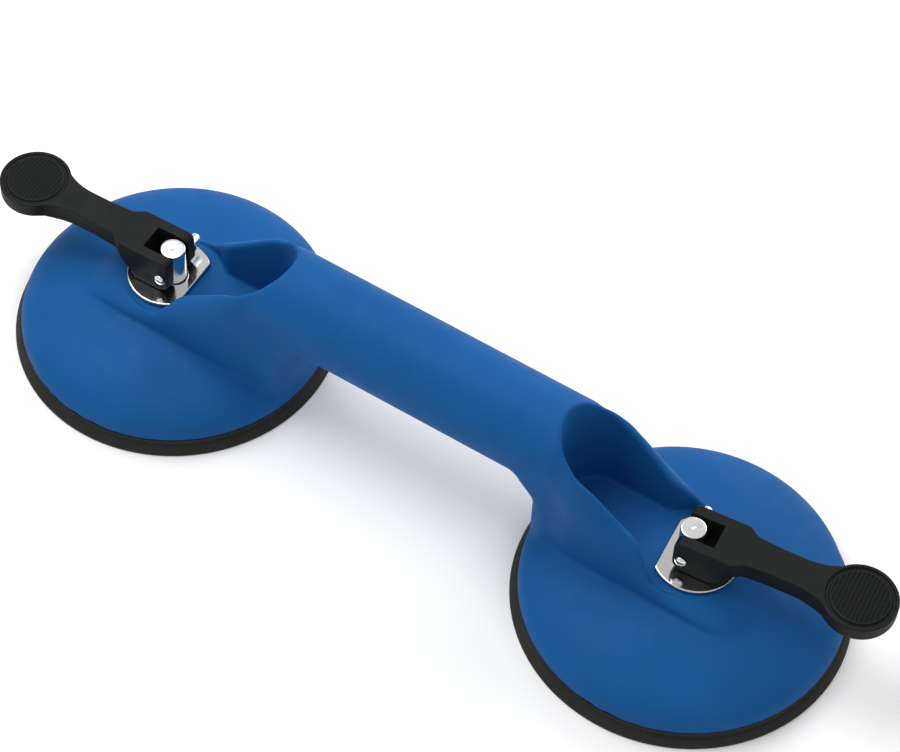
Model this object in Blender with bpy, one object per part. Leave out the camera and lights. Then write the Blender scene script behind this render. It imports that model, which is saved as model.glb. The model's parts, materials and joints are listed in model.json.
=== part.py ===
"""Two-cup vacuum lifter: a bridge handle with a rubber suction pad, a pull stud and a cam lever at each end.

Metres, +Z up. The handle runs along X, the pads stand on Z = 0, and the origin is midway between the pads.
The levers are down, which is the locked position: each cam holds its stud, and the middle of its pad, up.
"""

import math

import bmesh
import bpy
from mathutils import Matrix, Vector

MM = 0.001

# Driving dimensions, in millimetres.
CUP_X = 105.8  # half the distance between the two stud axes
GAP = 0.3  # clearance between touching pieces
SWIVEL_DEG = {"right": 6.0, "left": 181.75}  # where each lever points, from +X

PAD_R = 59.1
PAD_NECK_R = 56.4
PAD_LIP_TOP = 3.0
PAD_BAND_TOP = 5.4
PAD_RECESS_R = 40.0
PAD_SEAL_R = 47.0
PAD_RECESS = 5.0
PAD_BOSS_TOP = 9.5

RIM_Z = 5.7
RIM_R = 56.5
RIM_WALL = 3.5
DOME_TOP = 23.0
DOME_POWER = 2.4
CAVITY_TOP = 19.8  # inside of the dome over the pad
TURRET_R = 16.0  # the deeper round hollow under the seat, which the bush hole leaves
CEILING = 24.5  # its top
SEAT_Z = 27.2  # floor of the trough and of the round seat at the stud
SEAT_R = 18.0
TROUGH_HALF = 11.6
TROUGH_END = 35.8  # centre of the trough's round end, from the stud axis
TROUGH_DRAFT = 0.08
TROUGH_LIFT = 0.013  # keeps the trough's floor out of the plane of the seat's
CUT_TOP = 80.0  # cutters reach up to here, over the whole housing
CORE_HALF = 8.6  # slot that hollows the neck under the trough
CORE_REACH = 45.0

HANDLE_R = 16.8
HANDLE_Z = 52.7
HANDLE_WALL = 3.0
NECK_R = 55.7  # radius of the neck's wall about the stud axis
NECK_FILLET = 10.0

HOLLOW_HALF = 37.0
COVER_HALF_X = 34.7
COVER_HALF_Y = 10.2
MOUTH_LOW = 33.0
MOUTH_HIGH = 44.0
SCREW_X = 28.0
SCREW_R = 1.5
SCREW_HEAD_R = 3.2
SCREW_HEAD_TOP = 1.0  # seat of the screw's head, over the bottom of the grip
SCREW_LENGTH = 14.5
BOSS_R = 4.4

PIN_Z = 35.4
PIN_R = 1.6
PIN_NEAR = 9.1  # the pin's reach past the stud axis on the side of its head
PIN_FAR = 14.6
PIN_HEAD_R = 2.15
CLIP_R = 3.1
CLIP_THICK = 0.8
STUD_R = 4.4
STUD_TOP = 43.6
STUD_FOOT_R = 3.0  # the riveted end that holds the backing disc
BUSH_R = 6.0
BUSH_FLANGE_R = 9.0
BUSH_FLANGE = 1.2
DISC_R = 14.0
DISC_THICK = 2.5

PLATE_THICK = 1.4
PLATE_R = 15.0
PLATE_SHIFT = 2.4  # plate centre, outward of the stud axis
PLATE_CHORD = 8.0  # flat edge, on the handle's side of the stud axis

LIFT = 3.0  # travel of the stud from locked to released
LEVER_SWING = math.radians(90.0)
FORK_HALF = 8.8
SLOT_HALF = 4.8
SLOT_END = 10.2
FORK_END = 17.0
ARM_TOP = 9.0  # lever's top face above the pin
ARM_BOTTOM = 1.8
THUMB_X = 59.2
THUMB_R = 12.9
THUMB_BOTTOM = 2.4
GROOVE_R = 10.7

SPRING_R = 7.4
WIRE_R = 0.8
SPRING_TURNS = 3.5

BLUE = (0.022, 0.115, 0.352)
BLACK = (0.028, 0.028, 0.029)
RUBBER = (0.017, 0.017, 0.014)
CHROME = (0.80, 0.80, 0.80)
STEEL = (0.52, 0.52, 0.53)
BRASS = (0.55, 0.40, 0.18)


def clear_scene():
    for obj in list(bpy.data.objects):
        bpy.data.objects.remove(obj, do_unlink=True)


def material(name, colour, roughness, metallic=0.0):
    made = bpy.data.materials.get(name) or bpy.data.materials.new(name)
    made.use_nodes = True
    shader = made.node_tree.nodes["Principled BSDF"]
    shader.inputs["Base Color"].default_value = (*colour, 1.0)
    shader.inputs["Roughness"].default_value = roughness
    shader.inputs["Metallic"].default_value = metallic
    return made


def object_from(name, bm, finish=None, parent=None, at=(0, 0, 0)):
    """An object in metres from a bmesh in millimetres, smooth except at its sharp edges."""
    bmesh.ops.recalc_face_normals(bm, faces=bm.faces)
    many_sided = [face for face in bm.faces if len(face.verts) > 4]
    bmesh.ops.triangulate(bm, faces=many_sided, ngon_method="EAR_CLIP")
    bm.transform(Matrix.Scale(MM, 4))
    mesh = bpy.data.meshes.new(name)
    bm.to_mesh(mesh)
    bm.free()
    mesh.shade_smooth()
    mesh.set_sharp_from_angle(angle=math.radians(35))
    obj = bpy.data.objects.new(name, mesh)
    bpy.context.scene.collection.objects.link(obj)
    obj.location = [v * MM for v in at]
    obj.parent = parent
    if finish:
        mesh.materials.append(finish)
    return obj


def empty(name, at, turn=0.0, parent=None):
    made = bpy.data.objects.new(name, None)
    bpy.context.scene.collection.objects.link(made)
    made.location = [v * MM for v in at]
    made.rotation_euler.z = turn
    made.parent = parent
    return made


def boolean(obj, other, operation):
    """Adds a Boolean modifier, and turns the other object into a guide that no render shows."""
    modifier = obj.modifiers.new(other.name, "BOOLEAN")
    modifier.operation = operation
    modifier.solver = "EXACT"
    modifier.object = other
    other.hide_render = True
    other.display_type = "WIRE"


def rings_to_mesh(rings, closed=False):
    """A bmesh from rings of points: bridged in order, with flat ends unless the last ring meets the first."""
    bm = bmesh.new()
    made = [[bm.verts.new(point) for point in ring] for ring in rings]
    pairs = list(zip(made, made[1:]))
    if closed:
        pairs.append((made[-1], made[0]))
    for low, high in pairs:
        for i in range(max(len(low), len(high))):
            j = (i + 1) % max(len(low), len(high))
            corners = [low[i % len(low)], low[j % len(low)], high[j % len(high)], high[i % len(high)]]
            bm.faces.new(list(dict.fromkeys(corners)))
    if not closed:
        for ring in (made[0], made[-1]):
            if len(ring) > 2:
                bm.faces.new(ring)
    return bm


def turned(profile, segments, closed=False):
    """A solid of revolution about Z. The profile is (radius, height) points; a radius of 0 is one point."""
    angles = [math.tau * (i + 0.5) / segments for i in range(segments)]
    rings = []
    for radius, height in profile:
        if radius:
            rings.append([(radius * math.cos(a), radius * math.sin(a), height) for a in angles])
        else:
            rings.append([(0, 0, height)])
    return rings_to_mesh(rings, closed)


def prism(outline, low, high, axis="z"):
    """An outline extruded along an axis: its points are (x, y) for Z, (x, z) for Y and (y, z) for X."""
    place = {
        "z": lambda a, b, c: (a, b, c),
        "y": lambda a, b, c: (a, c, b),
        "x": lambda a, b, c: (c, a, b),
    }[axis]
    return rings_to_mesh([[place(a, b, c) for a, b in outline] for c in (low, high)])


def arc(centre, radius, start, end, steps):
    """Points of an arc, with its angles in degrees."""
    span = [math.radians(start + (end - start) * i / steps) for i in range(steps + 1)]
    return [(centre[0] + radius * math.cos(a), centre[1] + radius * math.sin(a)) for a in span]


def cylinder(radius, low, high, segments=24):
    return turned([(0, low), (radius, low), (radius, high), (0, high)], segments)


def turn_to_y(bm):
    """Turns a shape made along Z so that it lies along Y."""
    bm.transform(Matrix.Rotation(math.radians(-90), 4, "X"))
    return bm


# ---- housing ----

# The raised body that carries the handle over each dome. Each station is its distance from the stud axis
# towards the handle, its half-width, the height of its widest point, and the arch above: height and power.
BODY_STATIONS = (
    (-38.0, 15.0, 10.0, 7.5, 2.6),
    (-30.0, 19.6, 13.0, 8.4, 3.2),
    (-22.0, 20.4, 16.0, 9.4, 4.0),
    (-12.0, 20.9, 19.0, 8.6, 4.5),
    (-5.0, 21.0, 19.0, 10.0, 4.2),
    (2.0, 21.0, 19.0, 13.4, 3.6),
    (10.0, 20.9, 19.5, 20.4, 3.4),
    (20.0, 20.7, 22.0, 26.9, 3.4),
    (26.0, 20.3, 26.0, 28.7, 3.3),
    (30.0, 19.9, 30.0, 28.8, 3.2),
    (35.0, 19.3, 36.2, 26.8, 3.1),
    (40.0, 18.3, 43.0, 24.4, 2.5),
    (46.0, 17.1, 50.0, 19.6, 2.0),
    (50.0, HANDLE_R, HANDLE_Z, HANDLE_R, 2.0),
    (54.0, HANDLE_R, HANDLE_Z, HANDLE_R, 2.0),
)
RING_HALF = 13  # points on the upper and on the lower half of a section
NECK_STEPS = 6
BODY_BASE = 6.9
BEND_START = 38.0
BEND_LENGTH = 12.0


def body_section(station, base):
    """One section as (y, z) points: an arch above, and an underside whose height base gives."""
    _, half, widest, arch, power = station
    points = []
    for i in range(RING_HALF + 1):
        angle = math.pi * i / RING_HALF
        across, up = math.cos(angle), math.sin(angle)
        y = half * math.copysign(abs(across) ** (2 / power), across)
        points.append((y, widest + arch * abs(up) ** (2 / power)))
    for i in range(1, RING_HALF):
        angle = math.pi * (1 + i / RING_HALF)
        y = half * math.cos(angle)
        round_under = widest + arch * math.sin(angle)
        points.append((y, base(round_under)))
    return points


def bent_ring(distance, section):
    """Places a section about the stud axis: sections at the neck bend round it, the others stay flat."""
    bend = min(1.0, max(0.0, (distance - BEND_START) / BEND_LENGTH))
    ring = []
    for y, z in section:
        sagitta = abs(distance) - math.sqrt(max(distance**2 - y**2, 0.0))
        ring.append((distance - bend * sagitta, y, z))
    return ring


def half_body_rings():
    """Rings of the right half of the body, from beyond the stud to the start of the plain handle."""
    rings = [bent_ring(s[0], body_section(s, lambda _: BODY_BASE)) for s in BODY_STATIONS]
    handle = (0, HANDLE_R, HANDLE_Z, HANDLE_R, 2.0)
    rings.append(bent_ring(NECK_R, body_section(handle, lambda _: BODY_BASE)))
    for i in range(1, NECK_STEPS + 1):
        angle = math.radians(90 * i / NECK_STEPS)
        distance = NECK_R + NECK_FILLET * (1 - math.cos(angle)) + 0.02
        drop = NECK_FILLET * (1 - math.sin(angle))
        rings.append(bent_ring(distance, body_section(handle, lambda z, drop=drop: z - drop)))
    return [[(CUP_X - d, y, z) for d, y, z in ring] for ring in rings]


def dome_profile(radius, rise, steps):
    """The dome's outline from the rim up to the axis, a little fuller than a quarter ellipse."""
    points = []
    for i in range(steps + 1):
        angle = math.radians(90 * i / steps)
        across = math.cos(angle) ** (2 / DOME_POWER)
        points.append((radius * across, RIM_Z + rise * math.sin(angle) ** (2 / DOME_POWER)))
    points[-1] = (0, RIM_Z + rise)
    return points


def build_housing(blue):
    right = half_body_rings()
    left = [[(-x, y, z) for x, y, z in ring] for ring in reversed(right)]
    housing = object_from("housing", rings_to_mesh(right + left), blue)
    for side, centre in (("left", -CUP_X), ("right", CUP_X)):
        outer = [(0, RIM_Z)] + dome_profile(RIM_R, DOME_TOP - RIM_Z, 9)
        boolean(housing, object_from(f"dome_{side}", turned(outer, 56), at=(centre, 0, 0)), "UNION")
    for side, centre in (("left", -CUP_X), ("right", CUP_X)):
        for cutter in housing_cutters(side, centre):
            boolean(housing, cutter, "DIFFERENCE")
    inner_r = HANDLE_R - HANDLE_WALL
    ring = arc((0, HANDLE_Z), inner_r, 0, 345, 23)
    boolean(housing, object_from("handle_hollow", prism(ring, -HOLLOW_HALF, HOLLOW_HALF, "x")), "DIFFERENCE")
    half_y = COVER_HALF_Y + GAP
    mouth = [(-half_y, MOUTH_LOW), (half_y, MOUTH_LOW), (half_y, MOUTH_HIGH), (-half_y, MOUTH_HIGH)]
    reach = COVER_HALF_X + GAP
    boolean(housing, object_from("cover_mouth", prism(mouth, -reach, reach, "x")), "DIFFERENCE")
    for side, x in (("left", -SCREW_X), ("right", SCREW_X)):
        low = HANDLE_Z - inner_r + GAP + 0.6
        boss = cylinder(BOSS_R, low, HANDLE_Z + inner_r + 1.0)
        boolean(housing, object_from(f"screw_boss_{side}", boss, at=(x, 0, 0)), "UNION")
        pilot = cylinder(SCREW_R + GAP, low - 2, low + SCREW_LENGTH, 16)
        boolean(housing, object_from(f"pilot_hole_{side}", pilot, at=(x, 0, 0)), "DIFFERENCE")
    return housing


def housing_cutters(side, centre):
    """What is cut from one end of the housing: its hollow, the seat, the trough and the stud's hole."""
    towards = -1 if side == "right" else 1
    cavity = [(0, RIM_Z - 2), (RIM_R - RIM_WALL, RIM_Z - 2)]
    cavity += dome_profile(RIM_R - RIM_WALL, CAVITY_TOP - RIM_Z, 6)
    yield object_from(f"cavity_{side}", turned(cavity, 40), at=(centre, 0, 0))
    reach = towards * CORE_REACH
    core = [(0, -CORE_HALF), (reach, -CORE_HALF), (reach, CORE_HALF), (0, CORE_HALF)]
    yield object_from(f"core_{side}", prism(core, RIM_Z + 1, CEILING - 0.4), at=(centre, 0, 0))
    yield object_from(f"seat_{side}", cylinder(SEAT_R, SEAT_Z, CUT_TOP, 40), at=(centre, 0, 0))
    rings = []
    for height in (SEAT_Z, CUT_TOP):
        half = TROUGH_HALF + TROUGH_DRAFT * (height - SEAT_Z)
        plan = arc((TROUGH_END, 0), half, -90, 90, 12) + [(0, half), (0, -half)]
        rings.append([(x * towards, y, height + TROUGH_LIFT) for x, y in plan])
    yield object_from(f"trough_{side}", rings_to_mesh(rings), at=(centre, 0, 0))
    low, hole = RIM_Z + 2, BUSH_R + GAP
    stepped = [(0, low), (TURRET_R, low), (TURRET_R, CEILING), (hole, CEILING), (hole, 40), (0, 40)]
    yield object_from(f"turret_{side}", turned(stepped, 32), at=(centre, 0, 0))


def build_grip_cover(blue):
    half_angle = math.degrees(math.asin(COVER_HALF_Y / HANDLE_R))
    inner_r = HANDLE_R - HANDLE_WALL + GAP + 0.3
    inner_angle = math.degrees(math.asin(COVER_HALF_Y / inner_r))
    section = arc((0, HANDLE_Z), HANDLE_R, 270 - half_angle, 270 + half_angle, 9)
    section += arc((0, HANDLE_Z), inner_r, 270 + inner_angle, 270 - inner_angle, 9)
    cover = object_from("grip_cover", prism(section, -COVER_HALF_X, COVER_HALF_X, "x"), blue)
    bottom = HANDLE_Z - HANDLE_R
    for side, x in (("left", -SCREW_X), ("right", SCREW_X)):
        stepped = [
            (0, bottom - 2),
            (SCREW_HEAD_R + GAP, bottom - 2),
            (SCREW_HEAD_R + GAP, bottom + SCREW_HEAD_TOP + GAP),
            (SCREW_R + GAP, bottom + SCREW_HEAD_TOP + GAP),
            (SCREW_R + GAP, bottom + 6),
            (0, bottom + 6),
        ]
        boolean(cover, object_from(f"counterbore_{side}", turned(stepped, 20), at=(x, 0, 0)), "DIFFERENCE")


def build_cover_screws(steel):
    bottom = HANDLE_Z - HANDLE_R
    profile = [
        (0, bottom + 0.05),
        (SCREW_HEAD_R - 1.2, bottom + 0.1),
        (SCREW_HEAD_R, bottom + 0.6),
        (SCREW_HEAD_R, bottom + SCREW_HEAD_TOP),
        (SCREW_R, bottom + SCREW_HEAD_TOP),
        (SCREW_R, bottom + SCREW_LENGTH - 1.5),
        (0, bottom + SCREW_LENGTH),
    ]
    for side, x in (("left", -SCREW_X), ("right", SCREW_X)):
        object_from(f"cover_screw_{side}", turned(profile, 16), steel, at=(x, 0, 0))


# ---- what each cup holds: local X points outward along the lever, from the stud axis ----


def build_pad(side, axis, rubber):
    profile = [
        (0, PAD_RECESS),
        (PAD_RECESS_R - 4, PAD_RECESS),
        (PAD_RECESS_R + 2, PAD_RECESS - 1.2),
        (PAD_SEAL_R - 1.5, 0.4),
        (PAD_SEAL_R, 0),
        (PAD_R - 0.6, 0),
        (PAD_R, 0.7),
        (PAD_NECK_R + 0.7, PAD_LIP_TOP),
        (PAD_NECK_R, PAD_LIP_TOP + 0.4),
        (PAD_NECK_R, PAD_BAND_TOP),
        (RIM_R - RIM_WALL - 0.8, PAD_BAND_TOP),
        (RIM_R - RIM_WALL - 2.0, PAD_BOSS_TOP - 1.3),
        (DISC_R + 6, PAD_BOSS_TOP - 1.0),
        (DISC_R + 3, PAD_BOSS_TOP),
        (0, PAD_BOSS_TOP),
    ]
    object_from(f"rubber_pad_{side}", turned(profile, 48), rubber, axis)


def build_backing_disc(side, axis, steel):
    low = PAD_BOSS_TOP + GAP
    hole = STUD_FOOT_R + GAP
    profile = [
        (hole, low),
        (DISC_R - 0.5, low),
        (DISC_R, low + 0.5),
        (DISC_R, low + DISC_THICK - 0.5),
        (DISC_R - 0.5, low + DISC_THICK),
        (hole, low + DISC_THICK),
    ]
    object_from(f"backing_disc_{side}", turned(profile, 24, closed=True), steel, axis)


def build_stud(side, axis, chrome):
    foot = PAD_BOSS_TOP + GAP + 0.2
    shoulder = PAD_BOSS_TOP + GAP + DISC_THICK + GAP
    profile = [
        (0, foot),
        (STUD_FOOT_R, foot),
        (STUD_FOOT_R, shoulder),
        (STUD_R, shoulder),
        (STUD_R, STUD_TOP - 0.4),
        (STUD_R - 0.4, STUD_TOP),
        (0, STUD_TOP),
    ]
    stud = object_from(f"stud_{side}", turned(profile, 28), chrome, axis)
    across = turn_to_y(cylinder(PIN_R + GAP, -2 * STUD_R, 2 * STUD_R, 16))
    hole = object_from(f"stud_hole_{side}", across, None, axis, (0, 0, PIN_Z))
    boolean(stud, hole, "DIFFERENCE")


def build_guide_bush(side, axis, brass):
    high = CEILING - GAP - 0.4
    low = high - BUSH_FLANGE
    inner = STUD_R + GAP
    profile = [
        (inner, low),
        (BUSH_FLANGE_R, low),
        (BUSH_FLANGE_R, high),
        (BUSH_R, high),
        (BUSH_R, SEAT_Z - 0.1),
        (inner, SEAT_Z - 0.1),
    ]
    object_from(f"guide_bush_{side}", turned(profile, 28, closed=True), brass, axis)


def build_spring(side, axis, steel):
    """A helix between the backing disc and the bush, with its wire swept along it."""
    low = PAD_BOSS_TOP + GAP + DISC_THICK + GAP + WIRE_R
    high = CEILING - GAP - 0.4 - BUSH_FLANGE - GAP - WIRE_R
    per_turn = 14
    count = int(SPRING_TURNS * per_turn)
    rings = []
    for i in range(count + 1):
        part = i / count
        angle = math.tau * SPRING_TURNS * part
        outward = Vector((math.cos(angle), math.sin(angle), 0))
        centre = outward * SPRING_R + Vector((0, 0, low + (high - low) * part))
        ring = []
        for k in range(6):
            turn = math.tau * k / 6
            ring.append(centre + outward * WIRE_R * math.cos(turn) + Vector((0, 0, WIRE_R * math.sin(turn))))
        rings.append(ring)
    object_from(f"return_spring_{side}", rings_to_mesh(rings), steel, axis)


def build_wear_plate(side, axis, chrome):
    """A round plate cut flat on the handle's side, with a hole for the stud."""
    reach = math.degrees(math.acos((PLATE_CHORD + PLATE_SHIFT) / PLATE_R))
    outline = arc((PLATE_SHIFT, 0), PLATE_R, 180 + reach, 540 - reach, 30)
    low = SEAT_Z + GAP
    plate = object_from(f"wear_plate_{side}", prism(outline, low, low + PLATE_THICK), chrome, axis)
    hole = object_from(f"plate_hole_{side}", cylinder(STUD_R + GAP, low - 3, low + 4, 28), None, axis)
    boolean(plate, hole, "DIFFERENCE")


def cam_points(steps):
    """The fork's cam: its reach below the pin falls evenly with the swing, so the stud drops evenly."""
    plate_top = SEAT_Z + GAP + PLATE_THICK
    locked = PIN_Z - plate_top - GAP
    slope = -LIFT / LEVER_SWING
    points = []
    for i in range(steps + 1):
        swing = LEVER_SWING * i / steps
        reach = locked + slope * swing
        x = -reach * math.sin(swing) - slope * math.cos(swing)
        z = -reach * math.cos(swing) + slope * math.sin(swing)
        points.append((x, z))
    return points


def lever_side_outline():
    """Side view of the lever about the pin: cam, heel, underside, thumb disc, top face."""
    cam = cam_points(7)
    mouth = cam[-1][0]
    outline = list(reversed(cam))
    heel_top = ARM_BOTTOM
    bottom = cam[0][1]
    outline += heel_points(bottom, heel_top)
    outline += [(45.0, heel_top), (49.0, THUMB_BOTTOM), (THUMB_X + THUMB_R + 3, THUMB_BOTTOM)]
    outline += [(THUMB_X + THUMB_R + 3, ARM_TOP)]
    outline += arc((mouth + 2.6, ARM_TOP - 2.6), 2.6, 90, 180, 4)
    return outline


def heel_points(bottom, top):
    """The fork's flat foot and the hollow curve that rises from it to the arm's underside."""
    foot_end, arm_start = 11.0, FORK_END + 1.0
    points = [(foot_end, bottom)]
    for i in range(1, 7):
        part = i / 6
        x = foot_end + (arm_start - foot_end) * part
        z = bottom + (top - bottom) * (1 - math.sqrt(max(1 - part**2, 0.0)) * (1 - part))
        points.append((x, z))
    return points


def lever_plan_outline():
    """Top view of one side of the lever, mirrored for the other: fork, shoulder, waist and thumb disc."""
    half = [(-6.0, FORK_HALF), (FORK_END - 1.0, FORK_HALF), (FORK_END + 0.5, FORK_HALF - 0.5)]
    half += [(FORK_END + 4.0, 6.3), (30.0, 5.7), (40.0, 5.8), (45.5, 6.9)]
    start = 180 - math.degrees(math.asin(8.6 / THUMB_R))
    half += arc((THUMB_X, 0), THUMB_R, start, 0, 14)
    return half + [(x, -y) for x, y in reversed(half[:-1])]


def build_lever(side, axis, black):
    reach = THUMB_R + 2
    lever = object_from(f"lever_{side}", prism(lever_side_outline(), -reach, reach, "y"), black, axis)
    plan = object_from(f"lever_plan_{side}", prism(lever_plan_outline(), -20, 20), None, axis)
    boolean(lever, plan, "INTERSECT")
    above = ARM_TOP + 2
    slot_side = [(-12, -15), (SLOT_END, -15), (SLOT_END, 3), (SLOT_END - 1.4, above), (-12, above)]
    slot = object_from(f"lever_slot_{side}", prism(slot_side, -SLOT_HALF, SLOT_HALF, "y"), None, axis)
    boolean(lever, slot, "DIFFERENCE")
    hole = object_from(f"lever_hole_{side}", turn_to_y(cylinder(PIN_R + GAP, -14, 14, 20)), None, axis)
    boolean(lever, hole, "DIFFERENCE")
    inner, outer, depth = GROOVE_R - 0.5, GROOVE_R + 0.5, 0.8
    floor = ARM_TOP - depth
    groove = [(inner, floor), (outer, floor), (outer, above), (inner, above)]
    ring = object_from(f"thumb_groove_{side}", turned(groove, 32, closed=True), None, axis, (THUMB_X, 0, 0))
    boolean(lever, ring, "DIFFERENCE")


def build_pin(side, axis, far, chrome):
    """The pin lies along local Y. Its domed head is on one side, and far is the sign of its other end."""
    profile = [
        (0, -PIN_NEAR - 1.1),
        (1.3, -PIN_NEAR - 0.9),
        (PIN_HEAD_R, -PIN_NEAR - 0.3),
        (PIN_HEAD_R, -PIN_NEAR),
        (PIN_R, -PIN_NEAR),
        (PIN_R, PIN_FAR - 0.5),
        (PIN_R - 0.5, PIN_FAR),
        (0, PIN_FAR),
    ]
    bm = turned(profile, 20)
    bm.transform(Matrix.Rotation(math.radians(-90 * far), 4, "X"))
    object_from(f"pivot_pin_{side}", bm, chrome, axis)


def build_pin_clip(side, axis, far, steel):
    low = FORK_HALF + GAP
    inner = PIN_R + 0.2
    profile = [(inner, low), (CLIP_R, low), (CLIP_R, low + CLIP_THICK), (inner, low + CLIP_THICK)]
    bm = turned(profile, 20, closed=True)
    bm.transform(Matrix.Rotation(math.radians(-90 * far), 4, "X"))
    object_from(f"pin_clip_{side}", bm, steel, axis)


def build_cup(side, finishes):
    """All that belongs to one suction cup, hung on empties on the swivel axis and on the lever's pin."""
    centre = CUP_X if side == "right" else -CUP_X
    far = 1 if side == "right" else -1
    swivel = empty(f"swivel_axis_{side}", (centre, 0, 0), math.radians(SWIVEL_DEG[side]))
    hinge = empty(f"lever_axis_{side}", (0, 0, PIN_Z), 0.0, swivel)
    build_pad(side, swivel, finishes["rubber"])
    build_backing_disc(side, swivel, finishes["steel"])
    build_stud(side, swivel, finishes["chrome"])
    build_guide_bush(side, swivel, finishes["brass"])
    build_spring(side, swivel, finishes["steel"])
    build_wear_plate(side, swivel, finishes["chrome"])
    build_lever(side, hinge, finishes["black"])
    build_pin(side, hinge, far, finishes["chrome"])
    build_pin_clip(side, hinge, far, finishes["steel"])


def main():
    clear_scene()
    finishes = {
        "blue": material("blue_plastic", BLUE, 0.42),
        "black": material("black_plastic", BLACK, 0.45),
        "rubber": material("black_rubber", RUBBER, 0.6),
        "chrome": material("chrome", CHROME, 0.15, 1.0),
        "steel": material("zinc_steel", STEEL, 0.35, 1.0),
        "brass": material("bush_brass", BRASS, 0.4, 1.0),
    }
    build_housing(finishes["blue"])
    build_grip_cover(finishes["blue"])
    build_cover_screws(finishes["steel"])
    for side in ("left", "right"):
        build_cup(side, finishes)


main()
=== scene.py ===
"""The looks of the two-cup vacuum lifter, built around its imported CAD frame.

Lengths are in millimetres until a mesh is made, and Z = 0 is the plane that the pads stand on. The housing,
its cover and screws, the levers and the plates are solids given by a signed distance, so that their edges and
fillets are as soft as moulded plastic. What is round about an axis is turned from a profile.
"""

import json
import math

import bpy
import numpy as np
from mathutils import Matrix, Vector


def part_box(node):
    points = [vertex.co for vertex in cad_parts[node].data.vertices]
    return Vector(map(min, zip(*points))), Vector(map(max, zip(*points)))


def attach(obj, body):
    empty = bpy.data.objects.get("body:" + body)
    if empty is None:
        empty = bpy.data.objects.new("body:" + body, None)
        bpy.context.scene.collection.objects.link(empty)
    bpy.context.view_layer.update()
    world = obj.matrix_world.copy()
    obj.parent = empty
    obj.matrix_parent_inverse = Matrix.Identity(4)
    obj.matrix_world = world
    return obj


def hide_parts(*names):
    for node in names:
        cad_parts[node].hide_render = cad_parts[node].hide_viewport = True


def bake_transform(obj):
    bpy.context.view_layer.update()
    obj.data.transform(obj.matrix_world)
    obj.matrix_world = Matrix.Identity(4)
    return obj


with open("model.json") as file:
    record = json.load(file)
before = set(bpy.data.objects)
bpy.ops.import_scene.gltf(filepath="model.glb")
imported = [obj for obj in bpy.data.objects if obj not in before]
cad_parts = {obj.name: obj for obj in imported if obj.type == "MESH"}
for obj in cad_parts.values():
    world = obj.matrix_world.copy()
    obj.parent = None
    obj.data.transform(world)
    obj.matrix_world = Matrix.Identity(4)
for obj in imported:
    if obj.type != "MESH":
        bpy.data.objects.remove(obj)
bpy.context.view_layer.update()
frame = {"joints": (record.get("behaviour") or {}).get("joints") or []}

MM = 0.001
SIDES = ("left", "right")

# ---- dimensions that the CAD frame gives ----


def box_mm(node):
    low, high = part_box(node)
    return low / MM, high / MM


CUP_X = sum(corner.x for corner in box_mm("stud_right")) / 2
PAD_R = (box_mm("rubber_pad_right")[1].y - box_mm("rubber_pad_right")[0].y) / 2
STUD_TOP = box_mm("stud_right")[1].z
STUD_R = (box_mm("stud_right")[1].x - box_mm("stud_right")[0].x) / 2
HANDLE_TOP = box_mm("housing")[1].z
RIM_Z = box_mm("housing")[0].z
PLATE_LOW, PLATE_HIGH = (corner.z for corner in box_mm("wear_plate_right"))
HINGES = {joint["name"]: joint for joint in frame["joints"]}
PIN_Z = (box_mm("pivot_pin_right")[0].z + box_mm("pivot_pin_right")[1].z) / 2

# ---- the housing's own dimensions ----

RIM_R = 56.5
RIM_WALL = 3.5
DOME_TOP = 23.0
DOME_POWER = 2.4
CAVITY_TOP = 19.8
TURRET_R = 16.0
CEILING = 24.5
SEAT_Z = PLATE_LOW - 0.3
SEAT_R = 18.0
TROUGH_HALF = 11.6
TROUGH_END = 35.8
TROUGH_DRAFT = 0.08
HANDLE_R = 16.8
HANDLE_Z = 52.7
HANDLE_WALL = 3.0
NECK_R = 55.7
NECK_FILLET = 10.0
NECK_CORNER = 6.0
CORE_HALF = 8.6
CORE_REACH = 45.0
CORE_DROP = 0.4  # from the turret's ceiling down to the core's top
HOLLOW_HALF = 37.0
COVER_HALF_X = 34.7
COVER_HALF_Y = 10.2
SCREW_X = 28.0
SCREW_R = 1.5
SCREW_HEAD_R = 3.2
BOSS_R = 4.4
BUSH_HOLE_R = 6.3
GAP = 0.3
SCREW_HEAD_TOP = 1.0
SCREW_LENGTH = 14.5
SCREW_NECK_R = 1.25
SCREW_TAPER = 2.0  # the point, without a thread
SCREW_DOME = ((0, 0.05), (2.2, 0.12), (2.9, 0.3), (SCREW_HEAD_R, 0.62))  # radius, and height in the head
THREAD_START = 0.6  # above the head
THREAD_PITCH = 1.1
THREAD_ROOT_R = 1.2
THREAD_RISE = 0.35  # heights over a thread's start: its crest begins, its crest ends, back at the root
THREAD_CREST = 0.5
THREAD_FALL = 0.85
RECESS_HALF = 0.42  # the cross recess in the screw's head
RECESS_REACH = 2.2
RECESS_SLOPE = 1.2
RECESS_DEPTH = 0.85
POST_LOW = 39.8
MOUTH_DROP = 0.4  # from the posts' ends down to the top of the handle's mouth

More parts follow.
